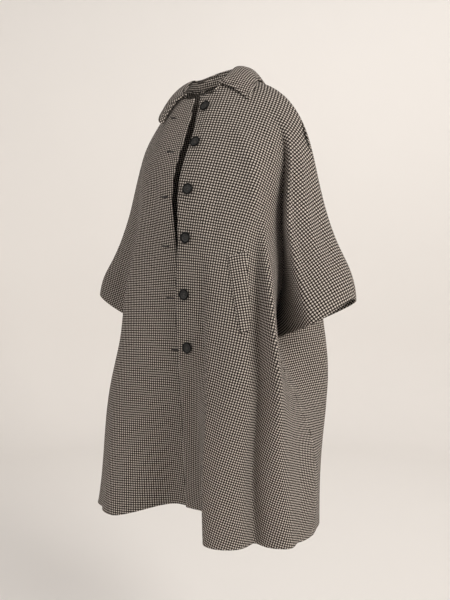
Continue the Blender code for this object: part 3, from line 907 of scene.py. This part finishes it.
def on_front(place, panel, across, down, lift):
    """Points lifted off a front, creases included, and the outward directions there."""
    step = 0.004
    sign = 1.0 if place is left_front else -1.0
    across = np.asarray(across, float)
    down = np.asarray(down, float)
    beside = place(across + step, down) - place(across - step, down)
    below = place(across, down + step) - place(across, down - step)
    out = unit(np.cross(below, beside)) * sign
    depth = crease_depth(panel, across, down) + lift
    return place(across, down) + out * np.asarray(depth)[:, None], out


def welt_place(sideways, downwards):
    """Across and down of a point of the welt, from its own 0 to 1 each way."""
    row = {
        name: top + (bottom - top) * downwards
        for name, top, bottom in zip(WELT_COLUMNS, WELT_TOP, WELT_BOTTOM)
    }
    return row["inner"] + (row["outer"] - row["inner"]) * sideways, row["down"]


sideways, downwards = np.meshgrid(spaced(0.0, 1.0, 20), spaced(0.0, 1.0, 60))
welt_across, welt_down = welt_place(sideways.ravel(), downwards.ravel())
from_ends = np.minimum(downwards, 1.0 - downwards)
free = np.minimum(from_ends / ENDS_SEWN, sideways / EDGE_SEWN).clip(0.0, 1.0)
lift = CLOTH + LAY_GAP * (SEWN_LIFT + (1.0 - SEWN_LIFT) * soft(free.ravel()))
points = on_front(left_front, "left_front", welt_across, welt_down, lift)[0]
work, places = laid_grid(points.reshape(sideways.shape + (3,)), everywhere)
welt_cloth = sewn("pocket_welt_cloth", work, wool)
flatten(welt_cloth, column_of(places, 0))
thicken(welt_cloth, WELT_CLOTH)
print("welt cut", [round(part, 3) for part in welt_cloth["cut"]])

# %% [markdown]
# Sewing thread shows as short raised stitches. Each is one small bead of thirty faces, stretched along its
# seam and pressed into the cloth, and all the stitches of the welt are one object.

# %% Stitches
THREAD_COLOUR = (0.030, 0.026, 0.023, 1.0)
THREAD_FLECK = (0.085, 0.076, 0.068, 1.0)
THREAD_SCALE = 1800.0
STITCH_LENGTH = 0.0026
STITCH_PITCH = 0.0044
STITCH_WIDTH = 0.0007
STITCH_SIGHT = 0.001
STITCH_LIFT = CLOTH * 1.45 + LAY_GAP * SEWN_LIFT
SEAM_INSET = 0.07
SEAM_END = 0.98
END_INSET = 0.012
STITCH_LINES = (
    (np.full(60, SEAM_INSET), np.linspace(0.01, 0.99, 60)),
    (np.linspace(SEAM_INSET, SEAM_END, 20), np.full(20, END_INSET)),
    (np.linspace(SEAM_INSET, SEAM_END, 20), np.full(20, 1.0 - END_INSET)),
)
thread, shader, strand = finish_of("thread", Roughness=0.7)
place = strand.node("ShaderNodeTexCoord", {}, {}, 3)
feed(shader, Base_Color=place.noise(THREAD_SCALE).blend(THREAD_COLOUR, THREAD_FLECK))


def frame_at(point, along, out):
    """A matrix that puts X along a seam and Z out of the cloth."""
    along = Vector(along).normalized()
    out = Vector(out)
    out = (out - along * out.dot(along)).normalized()
    turn = Matrix((along, out.cross(along), out)).transposed()
    return Matrix.Translation(Vector(point)) @ turn.to_4x4()


def add_stitches(work, points, out):
    """Lays stitches along a line of points."""
    steps = np.linalg.norm(np.diff(points, axis=0), axis=1)
    run = np.concatenate([[0.0], np.cumsum(steps)])

    def at_run(values, at):
        return np.array([np.interp(at, run, values[:, i]) for i in range(3)])

    size = Matrix.Diagonal((STITCH_LENGTH / 2, STITCH_WIDTH / 2, STITCH_WIDTH / 2, 1.0))
    for at in np.arange(STITCH_PITCH / 2, run[-1], STITCH_PITCH):
        along = at_run(points, at + STITCH_SIGHT) - at_run(points, at - STITCH_SIGHT)
        seat = frame_at(at_run(points, at), along, at_run(out, at))
        bmesh.ops.create_uvsphere(work, u_segments=6, v_segments=5, radius=1.0, matrix=seat @ size)


work = bmesh.new()
for sideways, downwards in STITCH_LINES:
    seam_across, seam_down = welt_place(sideways, downwards)
    points, out = on_front(left_front, "left_front", seam_across, seam_down, STITCH_LIFT)
    add_stitches(work, points, out)
welt_stitches = sewn("welt_stitches", work, thread)
print("welt stitch faces", len(welt_stitches.data.polygons))

# %% [markdown]
# The buttonholes are worked in the right front: a cut, bound all round with close dark stitches. A ring of
# thread made by spinning a circle, pulled apart at its middle, gives the bound edge. A dark lens fills the
# cut as painted shade, in the same near-black as the thread. Both are laid on the panel by their own across
# and down.

# %% Buttonholes
HOLE_COLUMNS = ("across", "down")
HOLES = ((0.330, 0.055), (0.155, 0.145), (0.090, 0.253), (0.090, 0.367), (0.065, 0.495), (0.050, 0.609))
HOLE_LENGTH = 0.022
BOUND_WIDTH = 0.0013
CUT_WIDTH = 0.0018
CUT_FLATNESS = 0.25
CUT_LIFT = 0.0002
PULL_SHARPNESS = 0.0004
# Near-black of the bound thread, also used on the lens in the cut, where it is painted shade.
BOUND_AND_CUT_SHADE_COLOUR = (0.003, 0.003, 0.003, 1.0)
BOUND_AND_CUT_SHADE_FLECK = (0.016, 0.014, 0.013, 1.0)
BOUND_SCALE = 1500.0
bound, shader, strand = finish_of("bound_edge_and_cut_shade", Roughness=0.75)
place = strand.node("ShaderNodeTexCoord", {}, {}, 3)
feed(shader, Base_Color=place.noise(BOUND_SCALE).blend(BOUND_AND_CUT_SHADE_COLOUR, BOUND_AND_CUT_SHADE_FLECK))


def lay_on_right(work, across, down):
    """Lays what is drawn flat in X and Y, in metres, on the right front at a place."""
    step = 0.01
    spot, beside, below = right_front([across, across + step, across], [down, down, down + step])
    per_across = np.linalg.norm(beside - spot) / step
    per_down = np.linalg.norm(below - spot) / step
    flat = np.array([vert.co for vert in work.verts])
    columns = across + flat[:, 0] / per_across
    levels = down - flat[:, 1] / per_down
    points = on_front(right_front, "right_front", columns, levels, flat[:, 2])[0]
    for vert, point in zip(work.verts, points):
        vert.co = point


holes = bmesh.new()
ring_radius = CUT_WIDTH / 2 + BOUND_WIDTH / 2
for row in HOLES:
    hole = dict(zip(HOLE_COLUMNS, row))
    work = bmesh.new()
    bmesh.ops.create_circle(
        work, segments=8, radius=BOUND_WIDTH / 2,
        matrix=Matrix.Translation((ring_radius, 0.0, 0.0)) @ Matrix.Rotation(math.radians(90), 4, "X"),
    )
    bmesh.ops.spin(
        work, geom=work.verts[:] + work.edges[:], axis=(0, 0, 1), cent=(0, 0, 0),
        angle=math.radians(360), steps=28, use_merge=True,
    )
    bmesh.ops.remove_doubles(work, verts=work.verts, dist=0.00001)
    # The lens in the cut is painted shade, in the bound edge's near-black.
    bmesh.ops.create_uvsphere(
        work, u_segments=12, v_segments=6, radius=CUT_WIDTH,
        matrix=Matrix.Translation((0.0, 0.0, CUT_LIFT)) @ Matrix.Diagonal((1.0, 1.0, CUT_FLATNESS, 1.0)),
    )
    bmesh.ops.recalc_face_normals(work, faces=work.faces)
    pull = HOLE_LENGTH / 2 - BOUND_WIDTH
    for vert in work.verts:
        vert.co.x += pull * math.tanh(vert.co.x / PULL_SHARPNESS)
        vert.co.z += CLOTH / 2
    lay_on_right(work, hole["across"], hole["down"])
    passing = bpy.data.meshes.new("passing")
    work.to_mesh(passing)
    work.free()
    holes.from_mesh(passing)
    bpy.data.meshes.remove(passing)
buttonholes = sewn("buttonholes", holes, bound)
print("buttonholes:", len(HOLES))

# %% [markdown]
# The buttons look like dark horn: a raised rim round a dish with four holes, and thread laid over it in two
# pairs. The body is turned from a profile with one spin. The holes are cut by a Boolean, which is quicker to
# read than an inset for each. Every button stands on a short thread neck, square to the cloth under it.

# %% Buttons
BUTTON = 0.025
BUTTON_HEIGHT = 0.0048
BUTTON_GAP = 0.002
BUTTONS = ((0.13, 0.036), (0.10, 0.130), (0.10, 0.240), (0.08, 0.349), (0.07, 0.486), (0.07, 0.601))
FROM_MIDDLE = "from_middle"
HOLE_RING = 0.0024
HOLE_RADIUS = 0.0009
NECK_FOOT, NECK_HEAD = 0.0022, 0.0017
PAIR_APART = 0.0004
PAIR_LEVEL = 0.56
PAIR_WIDTH = 0.00042
PAIR_HEIGHT = 0.0005
RIM_BEGINS = 0.70
RIM_COLOUR = (0.002, 0.002, 0.002, 1.0)
DISH_DARK = (0.004, 0.004, 0.004, 1.0)
DISH_PALE = (0.060, 0.059, 0.058, 1.0)
CLOUD_IN_HORN = 260.0
SPOTS_IN_HORN = 900.0
BUTTON_PROFILE_COLUMNS = ("radius", "height")
BUTTON_PROFILE = (
    (0.00, 0.00), (0.60, 0.00), (0.82, 0.05), (0.95, 0.22), (1.00, 0.45), (0.99, 0.70), (0.95, 0.90),
    (0.89, 1.00), (0.82, 0.97), (0.76, 0.84), (0.70, 0.68), (0.62, 0.58), (0.40, 0.54), (0.00, 0.53),
)


def horn_finish():
    """Dark mottled horn: black rim, charcoal dish with darker spots."""
    material, shader, strand = finish_of("dark_horn", Specular_IOR_Level=0.14)
    place = strand.node("ShaderNodeTexCoord", {}, {}, 3)
    cloudy = place.noise(CLOUD_IN_HORN, 4.0)
    spots = place.noise(SPOTS_IN_HORN, 2.0)
    dish = cloudy.blend(DISH_DARK, DISH_PALE)
    spotted = ((spots > 0.55) * 0.8).blend(dish, DISH_DARK)
    rim = strand.node("ShaderNodeAttribute", {"attribute_name": FROM_MIDDLE}, {}, 2) > RIM_BEGINS
    feed(shader, Base_Color=rim.blend(spotted, RIM_COLOUR))
    feed(shader, Roughness=cloudy * 0.25 + 0.25)
    bump = strand.node("ShaderNodeBump", {}, {"Strength": 0.15, "Distance": 0.0003, "Height": spots})
    feed(shader, Normal=bump)
    return material


def turned_button():
    """A button of its own, lying flat at the origin."""
    work = bmesh.new()
    ring = []
    for row in BUTTON_PROFILE:
        point = dict(zip(BUTTON_PROFILE_COLUMNS, row))
        ring.append(work.verts.new((point["radius"] * BUTTON / 2, 0.0, point["height"] * BUTTON_HEIGHT)))
    for low, high in zip(ring, ring[1:]):
        work.edges.new((low, high))
    bmesh.ops.spin(
        work, geom=work.verts[:] + work.edges[:], axis=(0, 0, 1), cent=(0, 0, 0),
        angle=math.radians(360), steps=48, use_merge=True,
    )
    bmesh.ops.remove_doubles(work, verts=work.verts, dist=0.00001)
    bmesh.ops.recalc_face_normals(work, faces=work.faces)
    body = sewn("button_body", work, horn)
    cutter_work = bmesh.new()
    for corner in range(4):
        angle = math.radians(45 + 90 * corner)
        hole_x = HOLE_RING * math.cos(angle)
        hole_y = HOLE_RING * math.sin(angle)
        bmesh.ops.create_cone(
            cutter_work, cap_ends=True, segments=14, radius1=HOLE_RADIUS, radius2=HOLE_RADIUS,
            depth=BUTTON_HEIGHT * 2, matrix=Matrix.Translation((hole_x, hole_y, BUTTON_HEIGHT / 2)),
        )
    cutter = sewn("button_cutter", cutter_work, horn)
    drill = body.modifiers.new("holes", "BOOLEAN")
    drill.operation = "DIFFERENCE"
    drill.object = cutter
    drill.solver = "EXACT"
    drilled = bpy.data.meshes.new_from_object(body.evaluated_get(bpy.context.evaluated_depsgraph_get()))
    bpy.data.objects.remove(body)
    bpy.data.objects.remove(cutter)
    reach = drilled.attributes.new(FROM_MIDDLE, "FLOAT", "POINT")
    reach.data.foreach_set("value", [vert.co.xy.length / (BUTTON / 2) for vert in drilled.vertices])
    return drilled


def thread_of_button():
    """The thread neck under a button and the two pairs of thread over its dish."""
    work = bmesh.new()
    neck = BUTTON_GAP + BUTTON_HEIGHT * 0.3
    bmesh.ops.create_cone(
        work, cap_ends=True, segments=12, radius1=NECK_FOOT, radius2=NECK_HEAD, depth=neck,
        matrix=Matrix.Translation((0.0, 0.0, -BUTTON_GAP + neck / 2)),
    )
    size = Matrix.Diagonal((HOLE_RING * 0.95, PAIR_WIDTH, PAIR_HEIGHT, 1.0))
    for side in (-1, 1):
        for offset in (-PAIR_APART, PAIR_APART):
            beside = side * HOLE_RING * math.sin(math.radians(45)) + offset
            place = Matrix.Translation((0.0, beside, BUTTON_HEIGHT * PAIR_LEVEL))
            bmesh.ops.create_uvsphere(work, u_segments=10, v_segments=8, radius=1.0, matrix=place @ size)
    return work


horn = horn_finish()
button_shape = turned_button()
button_pieces = []
for number, (across, down) in enumerate(BUTTONS, start=1):
    point, out = on_front(left_front, "left_front", [across], [down], 0.0)
    beside = left_front([across + 0.01], [down]) - left_front([across], [down])
    seat = frame_at(point[0] + out[0] * (CLOTH / 2 + BUTTON_GAP), beside[0], out[0])
    work = bmesh.new()
    work.from_mesh(button_shape)
    bmesh.ops.transform(work, matrix=seat, verts=work.verts)
    button = sewn(f"button_{number}_horn", work, horn)
    work = thread_of_button()
    bmesh.ops.transform(work, matrix=seat, verts=work.verts)
    sewing = sewn(f"button_{number}_thread", work, thread)
    button_pieces.append((number, button, sewing))
bpy.data.meshes.remove(button_shape)
print("buttons:", len(button_pieces))

# %% [markdown]
# Last, every piece is tied to the frame: it rides on the one body, and the solid it stands for is hidden.
# Each sheet of cloth keeps the size of its flat cut, which was measured when it was unfolded.

# %% Tie the pieces to the frame
SHEETS = (
    (left_cloth, "left_front", "draped", ["back_cloth", "collar_stand_cloth"]),
    (right_cloth, "right_front", "draped", ["back_cloth", "collar_stand_cloth"]),
    (back_cloth, "back", "draped", ["collar_stand_cloth"]),
    (stand_cloth, "collar_stand", "folded", ["back_cloth"]),
    (fall_cloth, "collar_fall", "folded", ["collar_stand_cloth"]),
    (welt_cloth, "left_pocket_welt", "laid", ["left_front_cloth"]),
)
for cloth, node, held, rests_on in SHEETS:
    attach(cloth, "root")
    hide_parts(node)
    width, length, area = cloth["cut"]
    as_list(rests_on)
for sewing in (welt_stitches, buttonholes):
    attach(sewing, "root")
for number, button, sewing in button_pieces:
    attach(button, "root")
    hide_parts(f"button_{number}")
    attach(sewing, "root")
